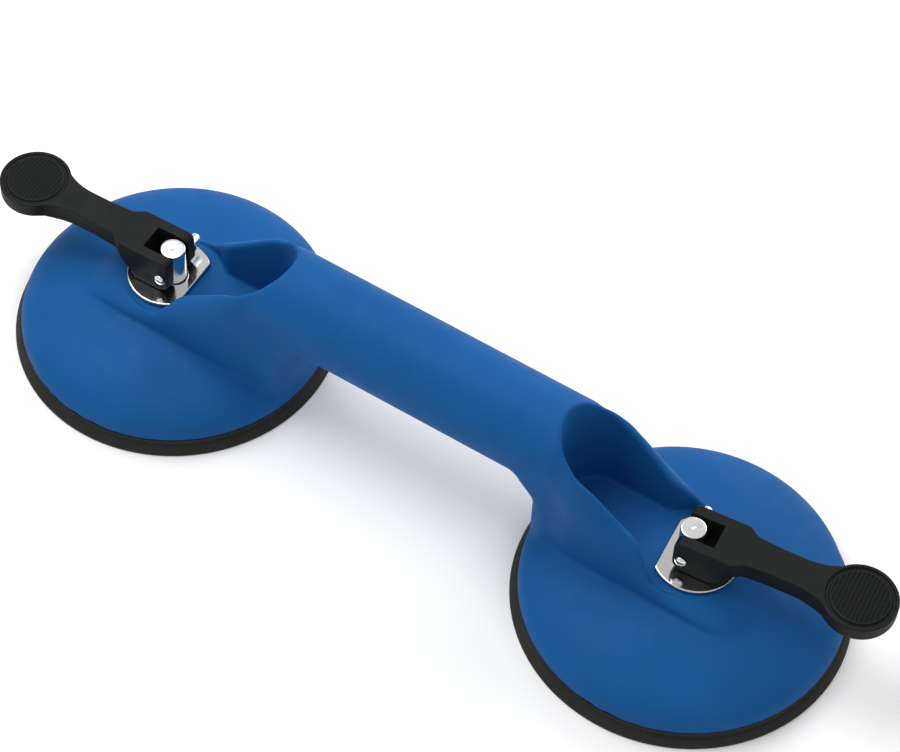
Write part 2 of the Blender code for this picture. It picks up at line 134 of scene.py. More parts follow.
# Stations of the raised body: distance from the stud axis towards the handle, half-width, height of the
# widest point, and the arch above: height and power.
BODY_STATIONS = (
    (-38.0, 15.0, 10.0, 7.5, 2.6),
    (-30.0, 19.6, 13.0, 8.4, 3.2),
    (-22.0, 20.4, 16.0, 9.4, 4.0),
    (-12.0, 20.9, 19.0, 8.6, 4.5),
    (-5.0, 21.0, 19.0, 10.0, 4.2),
    (2.0, 21.0, 19.0, 13.4, 3.6),
    (10.0, 20.9, 19.5, 20.4, 3.4),
    (20.0, 20.7, 22.0, 26.9, 3.4),
    (26.0, 20.3, 26.0, 28.7, 3.3),
    (30.0, 19.9, 30.0, 28.8, 3.2),
    (35.0, 19.3, 36.2, 26.8, 3.1),
    (40.0, 18.3, 43.0, 24.4, 2.5),
    (46.0, 17.1, 50.0, HANDLE_TOP - 50.0, 2.0),
    (50.0, HANDLE_R, HANDLE_Z, HANDLE_TOP - HANDLE_Z, 2.0),
    (54.0, HANDLE_R, HANDLE_Z, HANDLE_TOP - HANDLE_Z, 2.0),
)
BEND_START = 38.0
BEND_LENGTH = 12.0
BEND_ROUNDS = 6
BEND_WIDEST = 0.98  # the widest place that is still bent, as a share of the reach

# Radii of the housing's edges and inner corners. "More" is added by the ramps below.
CREASE = 0.9
CREASE_MORE = 2.4
RAIL_EDGE = 0.7
RAIL_EDGE_MORE = 1.7
TROUGH_FOOT_EDGE = 0.2
TROUGH_CORNER = 1.2
SEAT_CORNER = 1.0
SEAT_EDGE = 0.3
SEAT_EDGE_MORE = 2.2
TURRET_FILLET = 1.5
BOSS_EDGE = 0.3
MOUTH_EDGE = 0.35
COVER_EDGE = 0.35
COVER_CORNER = 0.6
FINE_EDGE = 0.2
RIM_EDGE = 0.7

# Ramps: where a smooth rise from 0 to 1 starts, and its length, which is negative where it rises downwards.
NECK_CORNER_DOWN = (46, -14)
NECK_CORNER_ALONG = (30, 10)
CREASE_UP = (14, 8)
CREASE_ALONG = (34, 10)
CREASE_FROM_SEAT = (SEAT_R, 5)
RAIL_ALONG = (43, -7)
RAIL_OVER_SEAT = (0.3, 2)
SEAT_EDGE_UP = (27.8, 1.8)

# ---- the lever's and its neighbours' dimensions, in the lever's frame: X outward, Z from the pin ----

PIN_R = 1.6
PIN_HEAD_R = 2.15
PIN_NEAR = 9.1
PIN_FAR = 14.6
# The pin's domed head: radius, and height over the fork's side.
PIN_DOME = ((0, 1.1), (0.9, 1.07), (1.5, 0.85), (1.9, 0.52), (PIN_HEAD_R, 0.15), (PIN_HEAD_R, 0))
PIN_TIP = ((0.15, 0.15), (0.5, 0))  # in from the pin's side and from its far end
PIN_TIP_START = 0.5
LIFT = 3.0
LEVER_SWING = math.radians(90.0)
CAM_STEPS = 18
FORK_BACK = -6.0
FORK_HALF = 8.8
SLOT_HALF = 4.8
SLOT_END = 10.2
SLOT_STEP = 3.0
SLOT_SLANT = 1.4
FORK_END = 17.0
ARM_TOP = 9.0
ARM_BOTTOM = 1.8
ARM_START = FORK_END + 1.0
WAIST_START = 30.0
WAIST_END = 38.0
WAIST_HALF = 5.7
FLARE = 2.9
FLARE_HALF = WAIST_HALF + FLARE
FLARE_POWER = 2.2
THUMB_X = 59.2
THUMB_R = 12.85
THUMB_BOTTOM = 2.4
UNDER_STEP = ((45.0, ARM_BOTTOM), (46.2, 1.88), (48.2, 2.28), (49.4, THUMB_BOTTOM))  # X and Z under the arm
UNDER_EDGE_MORE = 1.2
UNDER_EDGE_ALONG = (48, 4)
UNDER_EDGE_DOWN = (6.6, -1.5)
GROOVE_R = 11.0
GROOVE_DEPTH = 0.75
GROOVE_HALF = 0.66
RIB_PITCH = 1.42
RIB_DEPTH = 0.55
RIB_AREA_R = 9.9
RIB_FADE = 0.5
TOP_EDGE = 0.12
FOOT_END = 11.0
FOOT_STEPS = 12
MOUTH_R = 2.6
EDGE = 0.4
BORE_EDGE = 0.25
PLATE_R = 14.95
PLATE_SHIFT = 2.4
PLATE_CHORD = 8.0
PLATE_CORNER = 0.6
PLATE_EDGE = 0.22
CLIP_R = 3.1
CLIP_THICK = 0.8
CLIP_GAP = 0.2
CLIP_EDGE = 0.2
STUD_FOOT_R = 3.0
STUD_FOOT_LIFT = 0.2
STUD_EDGE = 0.4
STUD_FLAT_START = 1.4  # in from the stud's side
STUD_FLAT_RINGS = (2.0, 1.0, 0.62)  # radii that keep the stud's top flat round its turning mark
STUD_MARK = ((0.5, 0.04), (0, 0.2))  # radius and depth
DISC_R = 14.0
DISC_THICK = 2.5
DISC_EDGE = 0.4
BUSH_R = 6.0
BUSH_FLANGE_R = 9.0
BUSH_FLANGE = 1.2
BUSH_EDGE = 0.3
BUSH_SINK = 0.1  # from the seat down to the bush's top
SPRING_R = 7.4
WIRE_R = 0.8
WIRE_SIDES = 14
SPRING_TURNS = 3.5
TURN_STEPS = 40

# ---- the pad's dimensions ----

PAD_NECK_R = 56.4
PAD_LIP_TOP = 3.0
PAD_BAND_TOP = 5.4
PAD_RECESS_R = 40.0
PAD_SEAL_R = 47.0
PAD_RECESS = 5.0
PAD_SHOULDER = 8.25
PAD_BOSS_TOP = 9.5
PAD_LIP_EDGE = 0.9
PAD_EDGE = 0.45
PAD_MIDDLE_EDGE = 0.8
PAD_EDGE_STEPS = 5
PAD_SEAM = 0.02  # between the sealing ring and the middle
PAD_SEGMENTS = 160

# ---- the studio: the camera's distance, target and clipping are in metres ----

FLOOR_DROP = -0.02
FLOOR_HALF = 3000.0
FLOOR_STEPS = 12
WORLD_BRIGHTNESS = 0.62
# Each light: name, place, size and power.
LIGHTS = (("key", (-420, 60, 860), 700, 5.6), ("back", (150, 950, 560), 900, 4.5))
LIGHT_TARGET = (0, 0, 20)
CAMERA_ANGLES = (30.094, 53.862, 2.975)  # azimuth, elevation and roll
CAMERA_LENS = 111.888
CAMERA_SENSOR = 36.0
CAMERA_CLIP = (0.05, 20.0)
CAMERA_DISTANCE = 1.01182
CAMERA_TARGET = (-0.010504, 0.034963, 0.0)

# ---- field tools: signed distances, negative inside ----


def smooth_step(value):
    t = np.clip(value, 0.0, 1.0)
    return t * t * (3 - 2 * t)


def ramp(value, start, length):
    """A smooth rise from 0 at the start to 1 over the length."""
    return smooth_step((value - start) / length)


def join(a, b, radius):
    """Union with a round fillet in the corner between the two."""
    radius = np.maximum(radius, 1e-6)
    corner = np.sqrt(np.maximum(radius - a, 0) ** 2 + np.maximum(radius - b, 0) ** 2)
    return np.maximum(radius, np.minimum(a, b)) - corner


def meet(a, b, radius):
    """Intersection with its edge rounded."""
    return -join(-a, -b, radius)


def oval(across, up, half_width, height, power):
    """Distance to a superellipse, to first order."""
    u = np.abs(across / half_width)
    v = np.abs(up / height)
    size = np.maximum((u**power + v**power) ** (1 / power), 1e-3)
    slope = size ** (1 - power) * np.hypot(u ** (power - 1) / half_width, v ** (power - 1) / height)
    return (size - 1) / np.maximum(slope, 1e-3)


def through_stations(distance, column):
    """A smooth curve through one column of BODY_STATIONS, flat beyond its ends."""
    places = np.array([station[0] for station in BODY_STATIONS])
    values = np.array([station[column] for station in BODY_STATIONS])
    slopes = np.gradient(values, places)
    slopes[0] = slopes[-1] = slopes[-2] = 0.0
    at = np.clip(distance, places[0], places[-1])
    i = np.clip(np.searchsorted(places, at) - 1, 0, len(places) - 2)
    span = places[i + 1] - places[i]
    t = (at - places[i]) / span
    rise = t * t * (3 - 2 * t)
    bend = slopes[i] * t * (1 - t) ** 2 - slopes[i + 1] * t * t * (1 - t)
    return values[i] + (values[i + 1] - values[i]) * rise + span * bend


def slab(value, half):
    return np.abs(value) - half


# ---- meshing of a field ----


def grid_edges(field):
    """For each axis: which grid edges the surface crosses, and how far along."""
    for axis in range(3):
        low = np.take(field, range(field.shape[axis] - 1), axis)
        high = np.take(field, range(1, field.shape[axis]), axis)
        crossed = (low < 0) != (high < 0)
        where = np.argwhere(crossed)
        a, b = low[crossed], high[crossed]
        yield axis, where, a / (a - b), a < 0


def net_of(field):
    """Points, in grid units, and quads of the surface where the field is zero: one point in a crossed cell."""
    shape = np.array(field.shape) - 1
    total = np.zeros((*shape, 3), np.float32)
    count = np.zeros(shape, np.int16)
    crossings = list(grid_edges(field))
    for axis, where, part, _ in crossings:
        points = where.astype(np.float32)
        points[:, axis] += part
        for step in cell_steps(axis):
            cell = tuple((where - step).T)
            total[cell] += points
            count[cell] += 1
    active = count > 0
    number = np.full(shape, -1, np.int64)
    number[active] = np.arange(active.sum())
    quads = []
    for axis, where, _, inside_first in crossings:
        corners = [number[tuple((where - step).T)] for step in cell_steps(axis)]
        quad = np.stack(corners, 1)
        quad[~inside_first] = quad[~inside_first][:, ::-1]
        quads.append(quad)
    return total[active] / count[active][:, None], np.concatenate(quads)


def cell_steps(axis):
    """The four cells round a grid edge, in order round it."""
    b, c = (axis + 1) % 3, (axis + 2) % 3
    for one, other in ((0, 0), (1, 0), (1, 1), (0, 1)):
        step = np.zeros(3, int)
        step[b], step[c] = one, other
        yield step


def settle(points, field, reach):
    """Moves points onto the surface, by at most reach."""
    nudge, least_slope = 0.02, 0.05
    here = field(*points.T)
    slope = np.stack([field(*(points + nudge * axis).T) - here for axis in np.eye(3)], 1) / nudge
    move = -here / np.maximum((slope**2).sum(1), least_slope)
    move = move[:, None] * slope
    length = np.linalg.norm(move, axis=1, keepdims=True)
    return points + move * np.minimum(1, reach / np.maximum(length, 1e-9))


def evened(points, quads, share):
    """Each point drawn towards its neighbours' middle, so that the faces are of even size."""
    ends = np.concatenate([np.stack([quads[:, i], quads[:, (i + 1) % 4]], 1) for i in range(4)])
    count = np.bincount(ends[:, 0], minlength=len(points))[:, None]
    middle = np.stack([np.bincount(ends[:, 0], points[ends[:, 1], k], len(points)) for k in range(3)], 1)
    return points + share * (middle / np.maximum(count, 1) - points)


def spaced(*runs):
    """Grid lines over runs of (start, end, step) that follow each other."""
    lines = []
    for start, end, step in runs:
        count = max(1, round((end - start) / step))
        lines += [start + (end - start) * i / count for i in range(count)]
    return np.array(lines + [runs[-1][1]], float)


def solid_from_field(field, lines, mirrored, reach=0.3):
    """Points and quads of a field's surface on grid lines. The mirrored axes start at 0 and are reflected."""
    lines = list(lines)
    values = field(*np.meshgrid(*lines, indexing="ij")).astype(np.float32)
    for i, name in enumerate("xyz"):
        if name in mirrored:
            values = np.concatenate([np.flip(values, i).take(range(len(lines[i]) - 1), i), values], i)
            lines[i] = np.concatenate([-lines[i][:0:-1], lines[i]])
    points, quads = net_of(values)
    steps = [np.arange(len(line)) for line in lines]
    points = np.stack([np.interp(points[:, k], steps[k], lines[k]) for k in range(3)], 1)
    for _ in range(2):
        points = settle(evened(points, quads, 0.5), field, 2 * reach)
    return settle(settle(points, field, reach), field, reach), quads


def outline_distance(across, up, outline):
    """Signed distance to a closed outline in a plane, negative inside."""
    nearest = np.full(np.shape(across), 1e9)
    inside = np.zeros(np.shape(across), bool)
    for (ax, ay), (bx, by) in zip(outline, outline[1:] + outline[:1]):
        ex, ey = bx - ax, by - ay
        wx, wy = across - ax, up - ay
        t = np.clip((wx * ex + wy * ey) / max(ex * ex + ey * ey, 1e-12), 0, 1)
        nearest = np.minimum(nearest, (wx - ex * t) ** 2 + (wy - ey * t) ** 2)
        if abs(ey) > 1e-12:
            inside ^= ((ay > up) != (by > up)) & (wx < wy * ex / ey)
    return np.where(inside, -1.0, 1.0) * np.sqrt(nearest)


def arc(centre, radius, start, end, steps):
    """Points of an arc, with its angles in degrees."""
    span = [math.radians(start + (end - start) * i / steps) for i in range(steps + 1)]
    return [(centre[0] + radius * math.cos(a), centre[1] + radius * math.sin(a)) for a in span]


# ---- mesh objects ----


def cup_x(side):
    return CUP_X if side == "right" else -CUP_X


def piece_from(name, points, faces, finish, body, at=(0, 0, 0), turn=0.0):
    """A shown piece in metres from points in millimetres, smooth, riding on its body and turned about Z."""
    mesh = bpy.data.meshes.new(name)
    x, y, z = np.asarray(points, float).T * MM
    cos, sin = math.cos(turn), math.sin(turn)
    turned = np.stack([x * cos - y * sin, x * sin + y * cos, z], 1)
    mesh.from_pydata(turned.tolist(), [], [list(map(int, face)) for face in faces])
    mesh.update()
    mesh.shade_smooth()
    mesh.materials.append(finish)
    piece = bpy.data.objects.new(name, mesh)
    bpy.context.scene.collection.objects.link(piece)
    piece.location = Vector(at) * MM
    if body:
        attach(piece, body)
    return piece


def lathe(profile, segments, closed=False):
    """Points and faces of a solid of revolution about Z, from (radius, height) points run anticlockwise."""
    angles = math.tau * np.arange(segments) / segments
    points, rings = [], []
    for radius, height in profile:
        if radius:
            rings.append(range(len(points), len(points) + segments))
            points += [(radius * math.cos(a), radius * math.sin(a), height) for a in angles]
        else:
            rings.append([len(points)])
            points.append((0, 0, height))
    faces = []
    pairs = list(zip(rings, rings[1:])) + ([(rings[-1], rings[0])] if closed else [])
    for low, high in pairs:
        for i in range(segments):
            j = (i + 1) % segments
            corners = [low[i % len(low)], low[j % len(low)], high[j % len(high)], high[i % len(high)]]
            faces.append(list(dict.fromkeys(corners)))
    return points, faces


def rounded(profile, radius, steps=4, closed=False):
    """A (radius, height) profile with its corners rounded. The two ends of an open profile stay."""
    most = 0.45  # the share of a side that one corner may take
    points = [Vector(point) for point in profile]
    made = []
    for i, corner in enumerate(points):
        before, after = points[i - 1], points[(i + 1) % len(points)]
        if not closed and i in (0, len(points) - 1):
            made.append(tuple(corner))
            continue
        back, ahead = before - corner, after - corner
        reach = min(radius, back.length * most, ahead.length * most)
        start, end = corner + back.normalized() * reach, corner + ahead.normalized() * reach
        for k in range(steps + 1):
            t = k / steps
            made.append(tuple(start * (1 - t) ** 2 + corner * (2 * t * (1 - t)) + end * t * t))
    return made


def swept(path, wire_r, sides):
    """Points and faces of a round wire along a path of points, with closed ends."""
    path = np.asarray(path, float)
    along = np.gradient(path, axis=0)
    along /= np.linalg.norm(along, axis=1, keepdims=True)
    side = np.cross(along, (0, 0, 1))
    side /= np.linalg.norm(side, axis=1, keepdims=True)
    up = np.cross(side, along)
    angles = math.tau * np.arange(sides) / sides
    points = np.concatenate([path + wire_r * (side * math.cos(a) + up * math.sin(a)) for a in angles])
    n = len(path)
    faces = []
    for k in range(sides):
        a, b = k * n, (k + 1) % sides * n
        faces += [(a + i, a + i + 1, b + i + 1, b + i) for i in range(n - 1)]
    faces.append([k * n for k in range(sides)])
    faces.append([k * n + n - 1 for k in reversed(range(sides))])
    return points, faces


def laid_across(points, far):
    """Turns points made along Z to lie along local Y, towards the side that far gives."""
    points = np.asarray(points, float)
    return np.stack([points[:, 0], far * points[:, 2], -far * points[:, 1]], 1)


# ---- finishes ----

# Layers of noise: scale, detail and roughness. A finish gives its own scale of grain.
CLOUDS = (38.0, 4.0, 0.5)
SPECKS = (900.0, 5.0, 0.7)
PATCHES = (130.0, 6.0, 0.65)
GRAIN = (3.0, 0.6)
SPECKS_SHOWN = (0.0, 0.55, 0.58, 0.74)  # least and most dust, and the noise at which they are reached
GLOSS_SPREAD = (0.86, 1.16)
BUMP_STRENGTH = 0.6
MIX_FACTOR, MIX_FIRST, MIX_SECOND, MIX_RESULT = 0, 6, 7, 2  # the colour sockets of a mix node


def noise(nodes, links, vector, scale, detail, roughness):
    made = nodes.new("ShaderNodeTexNoise")
    made.inputs["Scale"].default_value = scale
    made.inputs["Detail"].default_value = detail
    made.inputs["Roughness"].default_value = roughness
    links.new(vector, made.inputs["Vector"])
    return made.outputs["Fac"]


def ranged(nodes, links, value, low, high, start=0.3, end=0.7):
    made = nodes.new("ShaderNodeMapRange")
    made.interpolation_type = "SMOOTHSTEP"
    for name, number in (("From Min", start), ("From Max", end), ("To Min", low), ("To Max", high)):
        made.inputs[name].default_value = number
    links.new(value, made.inputs["Value"])
    return made.outputs["Result"]


def mixed(nodes, links, factor, first, second):
    made = nodes.new("ShaderNodeMix")
    made.data_type = "RGBA"
    for socket, colour in ((made.inputs[MIX_FIRST], first), (made.inputs[MIX_SECOND], second)):
        if isinstance(colour, tuple):
            socket.default_value = (*colour, 1.0)
        else:
            links.new(colour, socket)
    links.new(factor, made.inputs[MIX_FACTOR])
    return made.outputs[MIX_RESULT]


def stretched(nodes, links, vector, scale):
    made = nodes.new("ShaderNodeMapping")
    made.inputs["Scale"].default_value = scale
    links.new(vector, made.inputs["Vector"])
    return made.outputs["Vector"]


def toned(colour, factor):
    return tuple(min(1.0, channel * factor) for channel in colour)


def finish_of(
    name, colour, rough, grain, depth, spread, metallic=0.0, lines=(1, 1, 1), dust=None, specular=0.5
):
    """A mottled finish: a colour clouded by spread, patchy gloss, and a bump grain of that scale and depth.

    The grain is stretched into lines where they are given, and dust is a colour that shows in fine specks.
    """
    made = bpy.data.materials.new(name)
    made.use_nodes = True
    nodes, links = made.node_tree.nodes, made.node_tree.links
    shader = nodes["Principled BSDF"]
    shader.inputs["Metallic"].default_value = metallic
    shader.inputs["Specular IOR Level"].default_value = specular
    place = nodes.new("ShaderNodeTexCoord").outputs["Object"]
    cloudy = ranged(nodes, links, noise(nodes, links, place, *CLOUDS), 0.0, 1.0)
    tint = mixed(nodes, links, cloudy, toned(colour, 1 - spread), toned(colour, 1 + spread))
    if dust:
        specks = ranged(nodes, links, noise(nodes, links, place, *SPECKS), *SPECKS_SHOWN)
        tint = mixed(nodes, links, specks, tint, dust)
    links.new(tint, shader.inputs["Base Color"])
    patches = noise(nodes, links, place, *PATCHES)
    least, most = (rough * factor for factor in GLOSS_SPREAD)
    links.new(ranged(nodes, links, patches, least, most), shader.inputs["Roughness"])
    fine = noise(nodes, links, stretched(nodes, links, place, lines), grain, *GRAIN)
    bump = nodes.new("ShaderNodeBump")
    bump.inputs["Strength"].default_value = BUMP_STRENGTH
    bump.inputs["Distance"].default_value = depth
    links.new(fine, bump.inputs["Height"])
    links.new(bump.outputs["Normal"], shader.inputs["Normal"])
    return made


# Each finish: colour, roughness, the grain's scale and its depth in metres, the colour's spread, how metallic
# it is, and the stretch of the grain.
FINISHES = {
    "blue": finish_of("blue_moulded", (0.0065, 0.089, 0.285), 0.56, 2600.0, 0.000012, 0.05, specular=0.09),
    "black": finish_of("black_moulded", (0.0075, 0.0085, 0.0085), 0.5, 3000.0, 0.000016, 0.10, specular=0.13),
    "rubber": finish_of(
        "rubber_moulded", (0.019, 0.0185, 0.017), 0.6, 2200.0, 0.00003, 0.12,
        dust=(0.03, 0.03, 0.027), specular=0.2,
    ),
    "chrome": finish_of("chrome_polished", (0.86, 0.86, 0.86), 0.2, 1500.0, 0.000006, 0.03, 1.0),
    "steel": finish_of("zinc_plated", (0.52, 0.52, 0.53), 0.34, 1800.0, 0.00001, 0.08, 1.0),
    "plate": finish_of("plate_brushed", (0.74, 0.74, 0.73), 0.13, 900.0, 0.000002, 0.04, 1.0, (1, 14, 1)),
    "brass": finish_of("brass_turned", (0.55, 0.40, 0.18), 0.38, 1500.0, 0.00001, 0.10, 1.0, (1, 1, 10)),
    "floor": finish_of("floor_paper", (0.97, 0.97, 0.97), 0.85, 300.0, 0.00002, 0.004),
}


# ---- the housing ----


def bend_share(distance):
    return np.clip((distance - BEND_START) / BEND_LENGTH, 0.0, 1.0)


def bent_distance(d, y):
    """Distance towards the handle, measured round arcs about the stud axis near the neck."""
    bent = d
    for _ in range(BEND_ROUNDS):
        reach = np.maximum(bent, 1.0)
        bow = reach - np.sqrt(np.maximum(reach**2 - np.minimum(np.abs(y), BEND_WIDEST * reach) ** 2, 0))
        bent = d + bend_share(bent) * bow
    return bent


def raised_body(d, y, z, far):
    """The body that climbs from the dome to the handle, and the handle."""
    bent = bent_distance(d, y)
    half, widest, height, power = (through_stations(bent, column) for column in (1, 2, 3, 4))
    arch = oval(y, np.maximum(z - widest, 0), half, height, power)
    grip = np.where(z < HANDLE_Z, np.hypot(y, z - HANDLE_Z), np.abs(y)) - HANDLE_R
    neck = join(np.maximum(bent, far) - NECK_R, grip, NECK_FILLET)
    edge = NECK_CORNER * ramp(z, *NECK_CORNER_DOWN) * ramp(bent, *NECK_CORNER_ALONG)
    return np.maximum(meet(arch, neck, edge), BODY_STATIONS[0][0] - d)


def trough_wall(d, y, z):
    """Distance to the trough's wall, negative inside: a slot with a round end."""
    half = TROUGH_HALF + TROUGH_DRAFT * (z - SEAT_Z)
    return np.maximum(np.hypot(np.maximum(d - TROUGH_END, 0), y) - half, -d)


def grip_hollow(x, y, z):
    """The hollow of the handle, less the two screw posts, and its mouth underneath."""
    across = np.hypot(y, z - HANDLE_Z)
    bore = np.maximum(across - (HANDLE_R - HANDLE_WALL), np.abs(x) - HOLLOW_HALF)
    post = np.hypot(np.abs(x) - SCREW_X, y)
    pilot = np.maximum(post - SCREW_R - GAP, z - POST_LOW - SCREW_LENGTH)
    post = meet(post - BOSS_R, POST_LOW - z, BOSS_EDGE)
    bore = np.minimum(np.maximum(bore, -post), pilot)
    mouth = np.maximum(y - COVER_HALF_Y - GAP, np.abs(x) - COVER_HALF_X - GAP)
    mouth = np.maximum(mouth, z - POST_LOW + MOUTH_DROP)
    return bore, mouth


def housing_field(x, y, z):
    d = CUP_X - np.abs(x)
    y = np.abs(y)
    far = np.hypot(d, y)
    body = raised_body(d, y, z, far)
    dome = oval(far, np.maximum(z - RIM_Z, 0), RIM_R, DOME_TOP - RIM_Z, DOME_POWER)
    crease = CREASE + CREASE_MORE * ramp(z, *CREASE_UP) * ramp(d, *CREASE_ALONG)
    solid = join(dome, body, crease * ramp(far, *CREASE_FROM_SEAT))
    trough = meet(trough_wall(d, y, z), SEAT_Z - z, TROUGH_CORNER)
    soft = RAIL_EDGE + RAIL_EDGE_MORE * ramp(d, *RAIL_ALONG)
    solid = meet(solid, -trough, TROUGH_FOOT_EDGE + soft * ramp(z - SEAT_Z, *RAIL_OVER_SEAT))
    seat = meet(far - SEAT_R, SEAT_Z - z, SEAT_CORNER)
    solid = meet(solid, -seat, SEAT_EDGE + SEAT_EDGE_MORE * ramp(z, *SEAT_EDGE_UP))
    cavity = oval(far, np.maximum(z - RIM_Z, 0), RIM_R - RIM_WALL, CAVITY_TOP - RIM_Z, DOME_POWER)
    cavity = join(cavity, np.maximum(far - TURRET_R, z - CEILING), TURRET_FILLET)
    core = np.maximum(y - CORE_HALF, slab(d - CORE_REACH / 2, CORE_REACH / 2))
    core = np.maximum(core, z - CEILING + CORE_DROP)
    hollow = np.minimum(np.minimum(cavity, core), far - BUSH_HOLE_R)
    bore, mouth = grip_hollow(x, y, z)
    solid = np.maximum(solid, -np.minimum(hollow, bore))
    solid = meet(solid, -mouth, MOUTH_EDGE)
    return meet(solid, RIM_Z - z, RIM_EDGE)


def build_housing():
    lines = (
        spaced((0, 21, 3), (21, 38, 1.2), (38, 50, 1.6), (50, 126, 0.84), (126, 164, 1.4)),
        spaced((0, 26, 0.88), (26, 58, 1.5)),
        spaced((5, 8, 0.75), (8, 26, 1.4), (26, 32, 0.65), (32, 70.2, 1.05)),
    )
    points, quads = solid_from_field(housing_field, lines, "xy")
    points[:, 2] = np.clip(points[:, 2], RIM_Z, HANDLE_TOP)
    piece = piece_from("moulded_housing", points, quads, FINISHES["blue"], "housing")
    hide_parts("housing")


def cover_field(x, y, z):
    x, y = np.abs(x), np.abs(y)
    across = np.hypot(y, z - HANDLE_Z)
    shell = meet(across - HANDLE_R, HANDLE_R - HANDLE_WALL + 2 * GAP - across, FINE_EDGE)
    edges = meet(np.maximum(y - COVER_HALF_Y, z - HANDLE_Z), x - COVER_HALF_X, COVER_CORNER)
    solid = meet(shell, edges, COVER_EDGE)
    post = np.hypot(x - SCREW_X, y)
    bottom = HANDLE_Z - HANDLE_R
    head = np.maximum(post - SCREW_HEAD_R - GAP, z - bottom - SCREW_HEAD_TOP - GAP)
    return meet(solid, -np.minimum(head, post - SCREW_R - GAP), FINE_EDGE)


def build_grip_cover():
    lines = (
        spaced((0, 24, 2), (24, 35.2, 0.4)),
        spaced((0, 10.8, 0.45)),
        spaced((HANDLE_Z - HANDLE_R - 0.6, HANDLE_Z - 9.6, 0.4)),
    )
    points, quads = solid_from_field(cover_field, lines, "xy", 0.15)
    piece = piece_from("grip_underside", points, quads, FINISHES["blue"], "housing")
    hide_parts("grip_cover")


def screw_outline(bottom):
    """Half of the screw's outline: head, threads and point, from the axis out and back."""
    outline = [(radius, bottom + rise) for radius, rise in SCREW_DOME]
    outline += [(SCREW_HEAD_R, bottom + SCREW_HEAD_TOP), (SCREW_NECK_R, bottom + SCREW_HEAD_TOP)]
    thread = bottom + SCREW_HEAD_TOP + THREAD_START
    while thread < bottom + SCREW_LENGTH - SCREW_TAPER:
        outline += [(THREAD_ROOT_R, thread), (SCREW_R, thread + THREAD_RISE)]
        outline += [(SCREW_R, thread + THREAD_CREST), (THREAD_ROOT_R, thread + THREAD_FALL)]
        thread += THREAD_PITCH
    return outline + [(0, bottom + SCREW_LENGTH)]


def build_screws():
    bottom = HANDLE_Z - HANDLE_R
    half = screw_outline(bottom)
    outline = half + [(-r, z) for r, z in reversed(half[1:-1])]

    def field(x, y, z):
        solid = outline_distance(np.hypot(x, y), z, outline)
        ends = np.abs(x) + np.abs(y) - RECESS_REACH + RECESS_SLOPE * (z - bottom)
        cross = np.maximum(np.minimum(np.abs(x), np.abs(y)) - RECESS_HALF, ends)
        return np.maximum(solid, -np.maximum(cross, z - bottom - RECESS_DEPTH))

    across = spaced((0, 3.5, 0.18))
    lines = (across, across, spaced((bottom - 0.2, bottom + 1.4, 0.14), (bottom + 1.4, bottom + 14.8, 0.25)))
    points, quads = solid_from_field(field, lines, "xy", 0.08)
    for side, x in (("left", -SCREW_X), ("right", SCREW_X)):
        piece = piece_from(f"grip_screw_{side}", points, quads, FINISHES["steel"], "housing", (x, 0, 0))
        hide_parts(f"cover_screw_{side}")


# ---- the lever: X outward, Z up from the pin ----


def cam_points(steps):
    """The fork's cam: its reach below the pin falls evenly with the swing."""
    locked = PIN_Z - PLATE_HIGH - GAP
    slope = -LIFT / LEVER_SWING
    points = []
    for i in range(steps + 1):
        swing = LEVER_SWING * i / steps
        reach = locked + slope * swing
        x = -reach * math.sin(swing) - slope * math.cos(swing)
        z = -reach * math.cos(swing) + slope * math.sin(swing)
        points.append((x, z))
    return points


def lever_side():
    """The lever's outline from the side: cam, foot, underside of the arm, and back along the top."""
    cam = cam_points(CAM_STEPS)
    mouth, bottom = cam[-1][0], cam[0][1]
    outline = cam[::-1] + [(FOOT_END, bottom)]
    for i in range(1, FOOT_STEPS + 1):
        part = i / FOOT_STEPS
        x = FOOT_END + (ARM_START - FOOT_END) * part
        outline.append((x, bottom + (ARM_BOTTOM - bottom) * (1 - math.sqrt(1 - part**2) * (1 - part))))
    past_disc = THUMB_X + THUMB_R + 3
    outline += [*UNDER_STEP, (past_disc, THUMB_BOTTOM), (past_disc, ARM_TOP)]
    return outline + arc((mouth + MOUTH_R, ARM_TOP - MOUTH_R), MOUTH_R, 90, 180, 8)


def lever_plan():
    """The lever's outline from above: fork, waist, a flare and the round thumb disc."""
    half = [(FORK_BACK, FORK_HALF), (FORK_END, FORK_HALF), (FORK_END + 0.8, FORK_HALF - 0.5)]
    half += [(FORK_END + 3.4, 6.5), (FORK_END + 4.4, 6.2), (WAIST_START, WAIST_HALF), (WAIST_END, WAIST_HALF)]
    flare_end = THUMB_X - math.sqrt(THUMB_R**2 - FLARE_HALF**2)
    for t in (0.2, 0.4, 0.6, 0.75, 0.88):
        half.append((WAIST_END + (flare_end - WAIST_END) * t, WAIST_HALF + FLARE * t**FLARE_POWER))
    start = 180 - math.degrees(math.asin(FLARE_HALF / THUMB_R))
    half += arc((THUMB_X, 0), THUMB_R, start, 0, 40)
    return half + [(x, -y) for x, y in reversed(half[:-1])]


def slot_side():
    """The outline of the fork's slot from the side. It runs past the lever behind, below and above."""
    back, below, above = -12, -15, ARM_TOP + 2
    front = [(SLOT_END, below), (SLOT_END, SLOT_STEP), (SLOT_END - SLOT_SLANT, above)]
    return [(back, below), *front, (back, above)]


